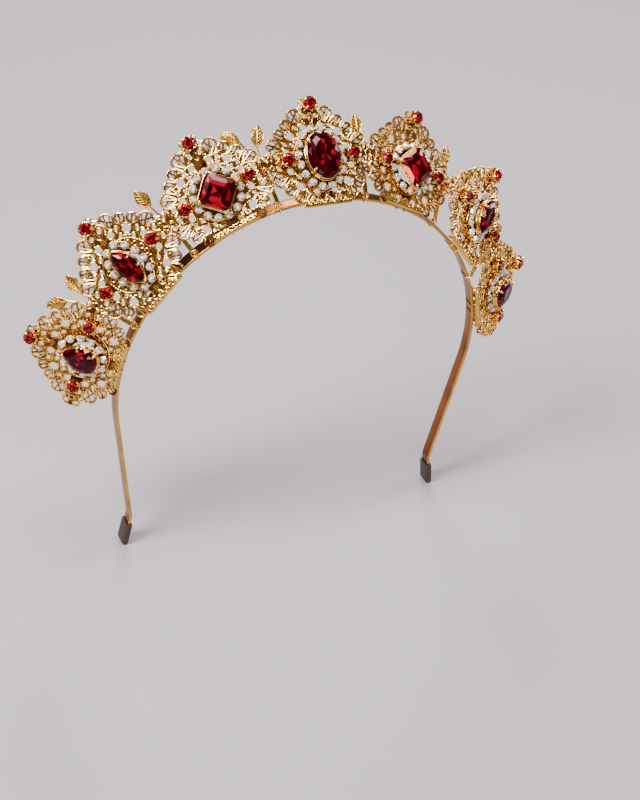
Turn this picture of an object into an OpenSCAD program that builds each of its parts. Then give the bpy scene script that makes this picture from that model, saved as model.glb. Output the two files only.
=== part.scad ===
// Headband crown: seven filigree plates, each with a claw-set ruby stone in a
// halo of clear stones, folded over and wired to a flat spring headband.
// Z is up as worn, Y points to the back of the head, X to the wearer's left.
// The origin is the centre of the band's arc, in the band's front edge plane.

/* [Headband] */
// Inside radius of the band over the top of the head
band_inner_r = 75; // [68:0.5:84]
// Width of the band from its front edge to its back edge
band_w = 5; // [3.5:0.25:7]
// Thickness of the spring strip
band_t = 1.2; // [0.8:0.1:1.8]
// Angle from the top at which the arc turns into a straight leg
arc_half_angle = 99; // [92:1:104]
// Length of each straight leg
leg_len = 49; // [30:1:60]
// Length of the tip that turns out at the end of each leg
tip_len = 11; // [9:0.5:15]
// Angle by which the tip turns out from its leg
tip_flare = 18; // [4:1:28]
// Radius of the bend between the leg and its tip
tip_bend_r = 6; // [4:0.5:12]

/* [End caps] */
// Length of each cap
cap_len = 9.5; // [6:0.5:9.5]
// Wall of each cap
cap_wall = 0.7; // [0.5:0.1:1.4]
// Closed end of each cap, below the band
cap_floor = 1.2; // [0.8:0.1:2]
// Gap all round between the band and the inside of its cap
cap_gap = 0.05; // [0.02:0.01:0.2]

/* [Plates] */
// Gap along the band between a plate's side corner and its neighbour's side accent
corner_gap = 0.7; // [0.4:0.1:3]
// Distance from the middle of a plate to the end of each of its four corners
plate_half = 23; // [20:0.25:23.5]
// Thickness of the stamped sheet
plate_t = 0.8; // [0.5:0.05:1]
// Length of a rear plate's lower corner that folds back over the band
fold_len = 8.6; // [7.5:0.1:10.5]
// Backward lean of the middle plate from the band's own plane
lean_middle = 46.5; // [40:0.5:50]
// Lean that each plate loses against its neighbour nearer the middle
lean_fall = 3; // [0:0.25:3.5]
// Gap between the overlapping side corners of neighbouring plates
layer_gap = 0.24; // [0.14:0.02:1]
// Distance of the rear plates' folds in front of the band's front edge
fold_front = 1; // [0.7:0.1:2]
// Gap between the band and the folded foot of each plate
foot_gap = 0.1; // [0.05:0.05:0.4]
// Width of the lattice bars
bar_w = 0.9; // [0.7:0.05:1.1]

/* [Large stones] */
// Length of the oval stone
oval_l = 18; // [16:0.5:19]
// Width of the oval stone
oval_w = 13; // [10:0.5:14]
// Side of the square stones
square_side = 12; // [9:0.5:12.5]
// Length of the boat-shaped stones
navette_l = 16; // [13:0.5:18]
// Width of the boat-shaped stones
navette_w = 8; // [6:0.5:9]
// Length of the pear-shaped stones
pear_l = 14; // [11:0.5:15]
// Width of the pear-shaped stones
pear_w = 10; // [7:0.5:11]
// Height of each stone above its girdle
crown_h = 1.7; // [1:0.1:2.2]
// Depth of each stone below its girdle
pavilion_h = 2.6; // [1.5:0.1:3]
// Height of the girdle above the halo's base
girdle_z = 4; // [3.6:0.1:5]

/* [Settings] */
// Wall of the claw settings
claw_wall = 0.4; // [0.3:0.05:0.9]
// Width of each claw
claw_w = 1.2; // [0.8:0.1:1.6]
// Gap between a stone and its setting
stone_gap = 0.05; // [0.02:0.01:0.15]
// Space between a large stone's edge and the centres of the cups round it
halo_margin = 2.1; // [1.8:0.1:2.4]
// Wall of each halo cup
cup_wall = 0.15; // [0.1:0.05:0.25]
// Height of each halo cup above the halo's base
cup_h = 1.5; // [1.2:0.1:2]
// Diameter of each clear stone
clear_d = 2.7; // [2.2:0.1:2.8]
// Thickness of the halo's base
halo_t = 0.6; // [0.4:0.1:1]

/* [Accent stones] */
// Diameter of each small red stone
accent_d = 4.8; // [3.5:0.1:5]
// Wall of each small setting
accent_wall = 0.15; // [0.1:0.05:0.3]
// Height of each small setting's wall
accent_cup_h = 2.8; // [2:0.1:3.2]
// Gap between a side accent's setting and the cups of the widest halo
accent_gap = 0.4; // [0.3:0.1:1.2]
// Distance from the end of a plate's top corner in to the middle of its accent
accent_inset = 2.7; // [2.4:0.1:4]

/* [Leaf sprigs] */
// Length of a sprig from the middle of its ring to the tip of its leaf
sprig_len = 31; // [27:0.5:35]
// Thickness of the cast sprigs
sprig_t = 1; // [0.7:0.1:1.3]
// Length of a leaf
leaf_l = 8; // [6:0.5:10]
// Width of a leaf
leaf_w = 4.6; // [3:0.2:6]
// Outside diameter of the ring at a sprig's foot
ring_d = 3; // [2.4:0.1:3.6]

/* [Binding wire] */
// Diameter of the wire that ties plates and sprigs to the band
wire_d = 0.4; // [0.3:0.05:0.5]
// Gap between the wire and what it binds
wire_gap = 0.06; // [0.04:0.01:0.2]

/* [Hidden] */
GOLD = "goldenrod";
PALE_GOLD = "khaki";
RUBY = "crimson";
CLEAR = "white";
BROWN = "saddlebrown";
eps = 0.02;

band_outer_r = band_inner_r + band_t;
plate_index = [-3:3];
gap_index = [0:5];
// the stone of each plate from the middle outwards
KINDS = ["oval", "square", "navette", "pear"];
// leaves on each sprig, from the wearer's right to the left
SPRIG_LEAVES = [2, 1, 2, 1, 1, 2];

// Halo cups, at least cup_space apart; those of a square stone stand on a
// circle that passes close under its corners.
cup_d = clear_d + 2 * (stone_gap + cup_wall);
cup_space = 0.75;
square_halo_r = square_side / 2 + halo_margin + 0.7;
ellipse_steps = 120;

// The side accents stand just outside the widest halo.
accent_cup_d = accent_d + 2 * (stone_gap + accent_wall);
accent_top = plate_half - accent_inset;
function halo_reach(kind) = max([for (p = halo_places(kind)) p.x]) + cup_d / 2;
accent_side = max([for (kind = KINDS) halo_reach(kind)]) + accent_gap + accent_cup_d / 2;

function kind_of(i) = KINDS[abs(i)];
function name_of(i) = i == 0 ? "middle" : str(i < 0 ? "right_" : "left_", abs(i));
function in_front(i) = abs(i) % 2 == 0;
function lean(i) = lean_middle - lean_fall * abs(i);
function lift(i) = in_front(i) ? plate_lift : 0;
// the front plates fold lower, so that all the plates stand level
function rise(i) = plate_rise + lift(i) * tan(lean(i));
function fold_y(i) = -fold_front - lift(i) / cos(lean(i));
fold_r = band_outer_r + foot_gap + plate_t;
// distance up a rear plate from its fold to its middle, and of that middle
// from the axis of the band's arc
plate_rise = plate_half - fold_len;
middle_r = fold_r + plate_rise * cos(lean_middle);
// The plates stand so close that each side corner ends just short of its
// neighbour's side accent. The corners overlap, and every second plate stands
// in front by what the two sheets need to pass each other, which differ by
// plate_pitch along the band and by lean_fall in their lean.
corner_overlap = (plate_half - accent_side - accent_cup_d / 2 - corner_gap) / 2;
plate_pitch = 2 * asin((plate_half - corner_overlap) / middle_r);
plate_lift = plate_t + layer_gap
    + 2 * corner_overlap * (sin(plate_pitch / 2) * cos(lean_middle) + sin(lean_fall));

// ---------------------------------------------------------------- places

// Local frame of plate i: origin at its middle on the back of the sheet,
// X along the band, Y up the plate, Z out of its front.
module on_plate(i) {
    rotate([0, i * plate_pitch, 0])
        translate([0, fold_y(i), fold_r])
            rotate([90 - lean(i), 0, 0])
                translate([0, rise(i), 0]) children();
}

// Local frame on the outside of the band: X along it, Y to its back edge.
module on_band(angle) {
    rotate([0, angle, 0]) translate([0, 0, band_outer_r]) children();
}

// ---------------------------------------------------------------- headband

// Half of the strip's centre line as [x, z, heading], the heading being the
// angle of the strip's outward side from +X.
band_mid_r = band_inner_r + band_t / 2;
arc_step = 3;
bend_step = 3;
leg_dir = arc_half_angle;
leg_top = [band_mid_r * sin(leg_dir), band_mid_r * cos(leg_dir)];
leg_end = leg_top + leg_len * [cos(leg_dir), -sin(leg_dir)];
bend_centre = leg_end + tip_bend_r * [sin(leg_dir), cos(leg_dir)];
tip_dir = leg_dir - tip_flare;
bend_end = bend_centre - tip_bend_r * [sin(tip_dir), cos(tip_dir)];
tip_end = bend_end + tip_len * [cos(tip_dir), -sin(tip_dir)];
half_path = concat(
    [for (a = [arc_step : arc_step : arc_half_angle - eps])
        [band_mid_r * sin(a), band_mid_r * cos(a), a]],
    [[leg_top.x, leg_top.y, leg_dir], [leg_end.x, leg_end.y, leg_dir]],
    [for (a = [bend_step : bend_step : tip_flare - eps])
        let (d = leg_dir - a, p = bend_centre - tip_bend_r * [sin(d), cos(d)])
        [p.x, p.y, d]],
    [[bend_end.x, bend_end.y, tip_dir], [tip_end.x, tip_end.y, tip_dir]]);

function reversed(list) = [for (k = [len(list) - 1 : -1 : 0]) list[k]];
function side_path(offset) = [for (p = half_path)
    [p[0] + offset * sin(p[2]), p[1] + offset * cos(p[2])]];
function mirrored(list) = [for (p = list) [-p.x, p.y]];

// The strip's edge line seen from the front, from the right tip to the left.
function strip_edge(offset) = concat(
    reversed(mirrored(side_path(offset))),
    [[0, band_mid_r + offset]],
    side_path(offset));

module headband() {
    color(GOLD)
        translate([0, band_w, 0]) rotate([90, 0, 0]) linear_extrude(band_w)
            polygon(concat(strip_edge(band_t / 2), reversed(strip_edge(-band_t / 2))));
}

// Outline of a rectangle with round corners about the origin
function round_rect(x, y, r, steps = 5) = [for (q = [[1, 1, 0], [-1, 1, 90], [-1, -1, 180], [1, -1, 270]])
    for (k = [0:steps]) let (a = q[2] + 90 * k / steps)
        [q[0] * (x / 2 - r) + r * cos(a), q[1] * (y / 2 - r) + r * sin(a)]];

// Slip-on cap: Z runs along the tip and the strip ends at z = 0
module end_cap(side) {
    pocket = [band_t + 2 * cap_gap, band_w + 2 * cap_gap];
    outside = pocket + 2 * [cap_wall, cap_wall];
    color(BROWN)
        mirror([side < 0 ? 1 : 0, 0, 0])
            translate([tip_end.x, band_w / 2, tip_end.y])
                rotate([0, tip_dir + 90, 0])
                    difference() {
                        translate([0, 0, cap_gap + cap_floor - cap_len])
                            linear_extrude(cap_len)
                                polygon(round_rect(outside.x, outside.y, cap_wall));
                        translate([0, 0, -cap_len])
                            linear_extrude(cap_len + cap_gap) square(pocket, center = true);
                    }
}

// ---------------------------------------------------------------- plates

// Lattice sizes of one corner, in millimetres from the plate's middle, with
// the corner along +Y; the side lobes and petals repeat to both sides. They
// are those of a plate of drawn_half, and all grow and shrink with the plate.
drawn_half = 23;
lattice_scale = plate_half / drawn_half;
tip_loop = [2, 0];
tip_loop_r = 1.5;
side_lobe = [6.2, 16.6];
side_lobe_r = 3.2;
petal_polar_r = 17.3;
petal_angle = 7.6;
petal_r = 2.2;
edge_hole_polar_r = 13.6;
edge_hole_r = 1.6;
scroll_hole = [3.6, 12.2];
scroll_hole_r = 1.2;
drop_hole = [2.2, 16.4];
drop_hole_r = 0.75;
vein_y = 17;
vein_r = 3.6;
web_r = 16;
inner_ring_r = 5;
slot_r = 0.65;
slot_spots = [[6.7, 12.3], [5.9, 9.3]];

module mirrored_pair() {
    children();
    mirror([1, 0]) children();
}

module four_corners() {
    for (a = [0, 90, 180, 270]) rotate(a) children();
}

module corner_solid() {
    tip_y = drawn_half - tip_loop_r;
    translate([0, vein_y]) circle(vein_r, $fn = 48);
    mirrored_pair() {
        translate([tip_loop.x, tip_y]) circle(tip_loop_r, $fn = 32);
        translate(side_lobe) circle(side_lobe_r, $fn = 48);
    }
    for (s = [-1, 1])
        rotate(45 + s * petal_angle) translate([0, petal_polar_r]) circle(petal_r, $fn = 32);
}

module fan_hole(r, bars) {
    difference() {
        circle(r - bar_w, $fn = 32);
        for (b = bars) rotate(b) translate([-bar_w * 0.35, -r]) square([bar_w * 0.7, 2 * r]);
    }
}

module corner_holes() {
    tip_y = drawn_half - tip_loop_r;
    mirrored_pair() {
        translate([tip_loop.x, tip_y]) circle(tip_loop_r - bar_w * 0.75, $fn = 24);
        translate(side_lobe) fan_hole(side_lobe_r, [-25, 35]);
        translate(scroll_hole) circle(scroll_hole_r, $fn = 24);
        translate(drop_hole) circle(drop_hole_r, $fn = 24);
        for (p = slot_spots) translate(p) circle(slot_r, $fn = 16);
    }
    for (s = [-1, 1])
        rotate(45 + s * petal_angle) translate([0, petal_polar_r]) fan_hole(petal_r, [0]);
    rotate(45) translate([0, edge_hole_polar_r]) circle(edge_hole_r, $fn = 32);
}

module lattice() {
    difference() {
        union() {
            scale([lattice_scale, lattice_scale]) {
                circle(web_r, $fn = 96);
                four_corners() corner_solid();
            }
            four_corners() translate([0, accent_top]) circle(d = accent_cup_d + 0.4, $fn = 48);
        }
        scale([lattice_scale, lattice_scale]) {
            circle(inner_ring_r, $fn = 64);
            four_corners() corner_holes();
        }
    }
}

// The plate folds along a line that reaches fold_half to each side of its
// middle. What lies further out, past a relief notch, stays in the sheet.
fold_half = 9.3 * lattice_scale;
fold_notch = 0.3;
// closed strip of metal on each side of the fold
fold_lap = 0.6;
// the bend is that much thinner than the sheet on each face, and the sheet
// and the foot each end that far from the inside line of the fold
fold_inset = 0.08;

// Rectangle that reaches down from y
module below(y, half, depth) {
    translate([-half, y - depth]) square([2 * half, depth]);
}

// The sheet's sharp bend, drawn about the inside line of the fold, between the
// sheet on one side and the foot on the other
module fold_bar(sweep) {
    steps = 8;
    r = plate_t - fold_inset;
    reach = fold_lap / 2;
    function turned(p) = [p.x * cos(sweep) - p.y * sin(sweep), p.x * sin(sweep) + p.y * cos(sweep)];
    rotate([90, 0, 90]) linear_extrude(2 * fold_half - fold_notch, center = true)
        polygon(concat(
            [[reach, fold_inset], [0, fold_inset], turned([0, fold_inset]),
             turned([-reach, fold_inset]), turned([-reach, r])],
            [for (k = [steps:-1:0]) let (a = 90 + k * sweep / steps) r * [cos(a), sin(a)]],
            [[reach, r]]));
}

module plate(i) {
    fold = -rise(i);
    sweep = 90 + lean(i);
    foot_len = band_w - fold_y(i);
    cut = fold_lap / 2;
    color(GOLD) on_plate(i) {
        linear_extrude(plate_t) {
            difference() {
                lattice();
                below(fold + cut, fold_half + fold_notch, plate_half);
            }
            below(fold + fold_lap, fold_half, fold_lap - fold_inset);
        }
        translate([0, fold, 0]) {
            fold_bar(sweep);
            rotate([sweep, 0, 0]) translate([0, -fold, 0]) linear_extrude(plate_t)
                difference() {
                    union() {
                        intersection() {
                            lattice();
                            below(fold - cut, fold_half - fold_notch, foot_len - cut);
                        }
                        below(fold - fold_inset, fold_half, fold_lap - fold_inset);
                    }
                    for (s = [-1, 1])
                        translate([s * wire_x, fold + fold_y(i) + wire_out])
                            circle(wire_out, $fn = 24);
                }
        }
    }
}

// ---------------------------------------------------------------- stones

// A stone's girdle as [x, y, direction of its edge's normal], centred on its
// own middle, with its long axis along Y.
side_steps = 6;

function oval_edge(l, w, n) = [for (k = [0 : n - 1]) let (a = k * 360 / n)
    [w / 2 * cos(a), l / 2 * sin(a), atan2(w * sin(a), l * cos(a))]];

function arc_points(cx, cy, r, a0, a1, n) = [for (k = [0 : n])
    let (a = a0 + (a1 - a0) * k / n) [cx + r * cos(a), cy + r * sin(a), a]];

function navette_edge(l, w) =
    let (r = (l * l + w * w) / (4 * w), c = r - w / 2, a = asin(l / 2 / r))
    concat(arc_points(-c, 0, r, -a, a, 2 * side_steps),
           arc_points(c, 0, r, 180 - a, 180 + a, 2 * side_steps));

function pear_edge(l, w) =
    let (y = w / 2 - l / 2, h = l / 2 - y, r = (4 * h * h + w * w) / (4 * w),
         c = r - w / 2, a = asin(h / r))
    concat(arc_points(-c, y, r, 0, a, side_steps),
           arc_points(c, y, r, 180 - a, 180, side_steps),
           arc_points(0, y, w / 2, 195, 345, 10));

square_corner_r = 1;
function square_edge(side) =
    let (c = side / 2 - square_corner_r)
    [for (q = [0:3]) for (p = arc_points(c, c, square_corner_r, 0, 90, 3))
        let (a = 90 * q - 45)
        [p[0] * cos(a) - p[1] * sin(a), p[0] * sin(a) + p[1] * cos(a), p[2] + a]];

function edge_of(kind) =
    kind == "oval" ? oval_edge(oval_l, oval_w, 24) :
    kind == "square" ? square_edge(square_side) :
    kind == "navette" ? navette_edge(navette_l, navette_w) :
    pear_edge(pear_l, pear_w);

function length_of(kind) =
    kind == "oval" ? oval_l :
    kind == "square" ? square_side * sqrt(2) :
    kind == "navette" ? navette_l : pear_l;

function width_of(kind) =
    kind == "oval" ? oval_w :
    kind == "square" ? square_side * sqrt(2) :
    kind == "navette" ? navette_w : pear_w;

function grown(edge, grow) = [for (p = edge) [p[0] + grow * cos(p[2]), p[1] + grow * sin(p[2])]];
function shrunk(edge, share) = [for (p = edge) [p[0] * share, p[1] * share]];

girdle_t = 0.3;
clear_crown_h = 0.8;
clear_pavilion_h = 0.6;
accent_crown_h = 1.3;
table_share = 0.62;
culet_share = 0.12;

module cut_stone(edge) {
    layer = 0.01;
    hull() {
        linear_extrude(girdle_t) polygon(grown(edge, 0));
        translate([0, 0, girdle_t + crown_h - layer])
            linear_extrude(layer) polygon(shrunk(edge, table_share));
        translate([0, 0, -pavilion_h]) linear_extrude(layer) polygon(shrunk(edge, culet_share));
    }
}

halo_z = plate_t;
stone_z = halo_z + halo_t + girdle_z;

module large_stone(i) {
    color(RUBY) on_plate(i) translate([0, 0, stone_z]) cut_stone(edge_of(kind_of(i)));
}

// Round stone turned about Z, its girdle's underside at z = 0
module round_stone(d, above, below) {
    r = d / 2;
    rotate_extrude($fn = 24)
        polygon([[0, -below], [r * 0.15, -below], [r, 0], [r, girdle_t / 2],
                 [r * 0.6, above], [0, above]]);
}

// ---------------------------------------------------------------- settings

// the basket clears the crowns of the clear stones below it
basket_z = halo_z + halo_t + cup_h - girdle_t + clear_crown_h + 0.1;
pedestal_share = 0.7;
pedestal_wall_share = 0.12;
claw_grip = 0.7;
// where the claws grip each stone, as a place in its edge list
function claw_spots(kind) =
    kind == "oval" ? [3, 9, 15, 21] :
    kind == "square" ? [1.5, 5.5, 9.5, 13.5] :
    kind == "navette" ? [2, 10, 15, 23] :
    [1, 6.5, 12, 16.5, 21.5];

function between(edge, k) = let (a = edge[floor(k)], b = edge[ceil(k)]) (a + b) / 2;

// A claw rises outside the girdle and folds in over the stone's crown, which
// climbs by slope for each millimetre inwards. X points out of the stone.
module claw(out, bottom, grip, slope, width) {
    inner = girdle_t + 0.08;
    back = 0.45;
    rotate([90, 0, 0]) linear_extrude(width, center = true)
        polygon([[stone_gap, bottom], [out, bottom], [out, inner + 0.2],
                 [stone_gap, inner + back + 0.2], [-grip, inner + grip * slope + back],
                 [-grip, inner + grip * slope], [stone_gap, inner]]);
}

module claw_setting(i) {
    kind = kind_of(i);
    edge = edge_of(kind);
    foot_z = halo_z + halo_t;
    color(GOLD) on_plate(i) {
        difference() {
            union() {
                translate([0, 0, basket_z]) linear_extrude(stone_z - basket_z)
                    polygon(grown(edge, stone_gap + claw_wall));
                translate([0, 0, foot_z]) linear_extrude(basket_z - foot_z + eps)
                    polygon(shrunk(edge, pedestal_share));
            }
            translate([0, 0, basket_z + claw_wall]) linear_extrude(stone_z)
                polygon(grown(edge, stone_gap));
            translate([0, 0, foot_z + claw_wall]) linear_extrude(stone_z)
                polygon(shrunk(edge, pedestal_share - pedestal_wall_share));
        }
        for (k = claw_spots(kind)) {
            p = between(edge, k);
            translate([p[0], p[1], stone_z]) rotate([0, 0, p[2]])
                claw(stone_gap + claw_wall, basket_z - stone_z, claw_grip,
                     crown_h / (width_of(kind) / 2 * (1 - table_share)), claw_w);
        }
    }
}

// The cups stand at equal steps along an ellipse round the large stone.
function halo_x(kind) = kind == "square" ? square_halo_r : width_of(kind) / 2 + halo_margin;
function halo_y(kind) = kind == "square" ? square_halo_r :
    length_of(kind) / 2 + (kind == "oval" ? halo_margin : halo_margin - 0.5);
function ellipse_point(kind, k) = let (a = 360 * k / ellipse_steps)
    [halo_x(kind) * cos(a), halo_y(kind) * sin(a)];
function ellipse_lengths(kind, k = 0, total = 0) = k > ellipse_steps ? [] :
    let (next = k == 0 ? 0 : total + norm(ellipse_point(kind, k) - ellipse_point(kind, k - 1)))
    concat([[next, 360 * k / ellipse_steps]], ellipse_lengths(kind, k + 1, next));

function halo_places(kind) =
    let (table = ellipse_lengths(kind), whole = table[ellipse_steps][0],
         fit = floor(whole / (cup_d + cup_space)), count = fit - fit % 2)
    [for (k = [0 : count - 1]) let (a = lookup((k + 0.5) * whole / count, table))
        [halo_x(kind) * cos(a), halo_y(kind) * sin(a)]];

module halo(i) {
    kind = kind_of(i);
    cup_floor = 0.4;
    rail = 0.9;
    color(GOLD) on_plate(i) translate([0, 0, halo_z]) {
        difference() {
            union() {
                linear_extrude(halo_t) difference() {
                    polygon(oval_outline(kind, rail));
                    polygon(shrunk(edge_of(kind), pedestal_share - 2 * pedestal_wall_share));
                }
                for (p = halo_places(kind))
                    translate([p.x, p.y, 0]) cylinder(d = cup_d, h = halo_t + cup_h, $fn = 24);
            }
            for (p = halo_places(kind))
                translate([p.x, p.y, halo_t + cup_floor])
                    cylinder(d = clear_d + 2 * stone_gap, h = cup_h, $fn = 24);
        }
    }
}

function oval_outline(kind, grow) = [for (k = [0 : 2 : ellipse_steps - 1])
    let (a = 360 * k / ellipse_steps)
    [(halo_x(kind) + grow) * cos(a), (halo_y(kind) + grow) * sin(a)]];

module halo_stones(i) {
    color(CLEAR) on_plate(i)
        for (p = halo_places(kind_of(i)))
            translate([p.x, p.y, halo_z + halo_t + cup_h - girdle_t])
                round_stone(clear_d, clear_crown_h, clear_pavilion_h);
}

accent_grip = 0.5;
accent_places = [[-accent_side, 0], [accent_side, 0], [0, accent_top]];

module accent_settings(i) {
    floor_t = 0.5;
    claws = 4;
    color(GOLD) on_plate(i)
        for (p = accent_places) translate([p.x, p.y, plate_t]) {
            difference() {
                cylinder(d = accent_cup_d, h = accent_cup_h, $fn = 32);
                translate([0, 0, floor_t])
                    cylinder(d = accent_d + 2 * stone_gap, h = accent_cup_h, $fn = 32);
            }
            for (k = [0 : claws - 1]) rotate(45 + 360 * k / claws)
                translate([accent_d / 2, 0, accent_cup_h - girdle_t])
                    claw((accent_cup_d - accent_d) / 2 + 0.3, floor_t - accent_cup_h,
                         accent_grip, accent_crown_h / (accent_d * 0.2), claw_w * 0.75);
        }
}

module accent_stones(i) {
    color(RUBY) on_plate(i)
        for (p = accent_places)
            translate([p.x, p.y, plate_t + accent_cup_h - girdle_t])
                round_stone(accent_d, accent_crown_h, accent_cup_h - 1);
}

// ---------------------------------------------------------------- sprigs

function sprig_angle(g) = (g - 2.5) * plate_pitch;
function sprig_lean(g) = (lean(floor(abs(g - 2.5))) + lean(ceil(abs(g - 2.5)))) / 2;
ring_up = 1.3;

// Local frame of sprig g: origin on the band's front outer edge, Y up the
// sprig, Z out of its front; it stands behind the corners of two plates.
module on_sprig(g) {
    rotate([0, sprig_angle(g), 0])
        translate([0, -foot_gap, band_outer_r])
            rotate([90 - sprig_lean(g), 0, 0])
                translate([0, ring_up, 0]) children();
}

module leaf() {
    r = (leaf_l * leaf_l + leaf_w * leaf_w) / (4 * leaf_w);
    intersection() {
        translate([r - leaf_w / 2, leaf_l / 2]) circle(r, $fn = 72);
        translate([leaf_w / 2 - r, leaf_l / 2]) circle(r, $fn = 72);
    }
}

// A stem that narrows upwards and sways to one side
module stem(length, sway, foot_w, top_w) {
    steps = 10;
    function mid(t) = sway * t * t;
    function half(t) = (foot_w + (top_w - foot_w) * sin(90 * t)) / 2;
    polygon(concat(
        [for (k = [0:steps]) let (t = k / steps) [mid(t) - half(t), t * length]],
        [for (k = [steps:-1:0]) let (t = k / steps) [mid(t) + half(t), t * length]]));
}

sprig_foot_w = 2.6;
sprig_top_w = 1;
ring_hole_share = 0.45;
// Leaves of a sprig as [sideways place of the base, height above the base of a
// single leaf, turn]: one nearly straight, or two that turn away from each other
SINGLE_LEAF = [[-1.7, 0, 5]];
LEAF_PAIR = [[-5.3, 3, 47], [0.4, 0, -20]];

module leaf_sprig(g) {
    reach = sprig_len - leaf_l;
    ring_r = ring_d / 2;
    color(PALE_GOLD) on_sprig(g) difference() {
        union() {
            cylinder(r = ring_r, h = sprig_t, $fn = 32);
            for (p = SPRIG_LEAVES[g] == 1 ? SINGLE_LEAF : LEAF_PAIR) {
                linear_extrude(sprig_t) stem(reach + p.y + 1, p.x, sprig_foot_w, sprig_top_w);
                translate([p.x, reach + p.y, 0]) rotate(p.z) linear_extrude(sprig_t) leaf();
            }
        }
        translate([0, 0, -sprig_t])
            cylinder(r = ring_r * ring_hole_share, h = 3 * sprig_t, $fn = 24);
    }
}

// ---------------------------------------------------------------- wires

// distance from a surface to the middle of the wire laid on it
wire_out = wire_gap + wire_d / 2;
// distance of each plate wire from the middle of its plate
wire_x = 1.95;
// the wire's bends are a little thicker than its runs
bend_share = 1.1;

// Closed loop of round wire through [y, z] points, Y to the back of the band
module wire_loop(points) {
    for (k = [0 : len(points) - 1]) {
        p = points[k];
        q = points[(k + 1) % len(points)];
        translate([0, p.x, p.y]) {
            sphere(d = wire_d * bend_share, $fn = 20);
            rotate([-atan2(q.x - p.x, q.y - p.y), 0, 0])
                cylinder(d = wire_d, h = norm(q - p), $fn = 20);
        }
    }
}

module plate_wires() {
    top = foot_gap + plate_t + wire_out;
    bottom = -band_t - wire_out;
    back = band_w + wire_out;
    color(PALE_GOLD)
        for (i = plate_index, s = [-1, 1])
            rotate([0, i * plate_pitch, 0]) translate([s * wire_x, 0, band_outer_r])
                wire_loop([[back, bottom], [back, top], [-wire_out, top], [-wire_out, bottom]]);
}

// The wire goes through the sprig's ring, down its front and round the band.
function sprig_point(g, up, out) = let (l = sprig_lean(g))
    [-foot_gap + up * sin(l) - out * cos(l), up * cos(l) + out * sin(l)];

module sprig_wires() {
    bottom = -band_t - wire_out;
    back = band_w + wire_out;
    front = sprig_t + wire_out;
    color(PALE_GOLD)
        for (g = gap_index)
            on_band(sprig_angle(g))
                wire_loop([[back, bottom], [back, wire_out],
                           sprig_point(g, ring_up, -wire_out),
                           sprig_point(g, ring_up, front),
                           sprig_point(g, ring_up - ring_d / 2 - wire_out, front),
                           [-wire_out, bottom]]);
}

headband();
end_cap(-1);  // end_cap_right
end_cap(1);  // end_cap_left
for (i = plate_index) {
    plate(i);
    halo(i);
    halo_stones(i);
    claw_setting(i);
    large_stone(i);
    accent_settings(i);
    accent_stones(i);
}
for (g = gap_index)
    leaf_sprig(g);
plate_wires();
sprig_wires();
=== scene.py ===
import math
import random

import bpy
from mathutils import Matrix, Vector


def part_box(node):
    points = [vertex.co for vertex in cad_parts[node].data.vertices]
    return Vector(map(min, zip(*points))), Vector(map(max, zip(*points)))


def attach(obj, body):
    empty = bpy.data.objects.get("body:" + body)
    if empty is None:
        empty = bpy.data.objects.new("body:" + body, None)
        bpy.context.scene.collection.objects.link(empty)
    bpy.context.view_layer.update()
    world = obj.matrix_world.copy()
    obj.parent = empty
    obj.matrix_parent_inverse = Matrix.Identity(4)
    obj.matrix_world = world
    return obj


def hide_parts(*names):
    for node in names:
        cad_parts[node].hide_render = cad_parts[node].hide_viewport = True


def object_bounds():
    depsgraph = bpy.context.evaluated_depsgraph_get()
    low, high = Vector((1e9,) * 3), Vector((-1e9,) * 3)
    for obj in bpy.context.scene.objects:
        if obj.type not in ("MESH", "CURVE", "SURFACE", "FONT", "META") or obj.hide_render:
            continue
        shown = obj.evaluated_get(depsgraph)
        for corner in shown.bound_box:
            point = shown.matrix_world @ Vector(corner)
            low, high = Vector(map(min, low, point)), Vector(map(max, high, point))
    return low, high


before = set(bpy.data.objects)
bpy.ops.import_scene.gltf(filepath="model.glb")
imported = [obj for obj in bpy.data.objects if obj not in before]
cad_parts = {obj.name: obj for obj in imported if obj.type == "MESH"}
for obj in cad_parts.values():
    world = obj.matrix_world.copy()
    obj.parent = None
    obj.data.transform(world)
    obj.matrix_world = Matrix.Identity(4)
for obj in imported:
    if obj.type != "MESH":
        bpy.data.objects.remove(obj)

bl_info = {
    "name": "Headband crown",
    "version": (1, 0, 0),
    "blender": (4, 5, 0),
    "location": "View3D > Sidebar > Crown",
    "description": "Filigree, stones and settings of a headband crown",
    "category": "Object",
}

MM = 0.001
CAD_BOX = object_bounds()
BAND_OUTER_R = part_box("headband")[1].z
# Plates are counted from the middle one, with the wearer's right negative, and the gaps between
# them from the wearer's right.
PLATES = range(-3, 4)
GAPS = range(6)
MIDDLE_GAP = 2.5
# Kinds of large stone, from the middle plate outwards
KINDS = ("oval", "square", "navette", "pear")
# Leaves of the sprig in each gap
SPRIG_LEAVES = (2, 1, 2, 1, 1, 2)


# ------------------------------------------------------------------ sizes

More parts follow.
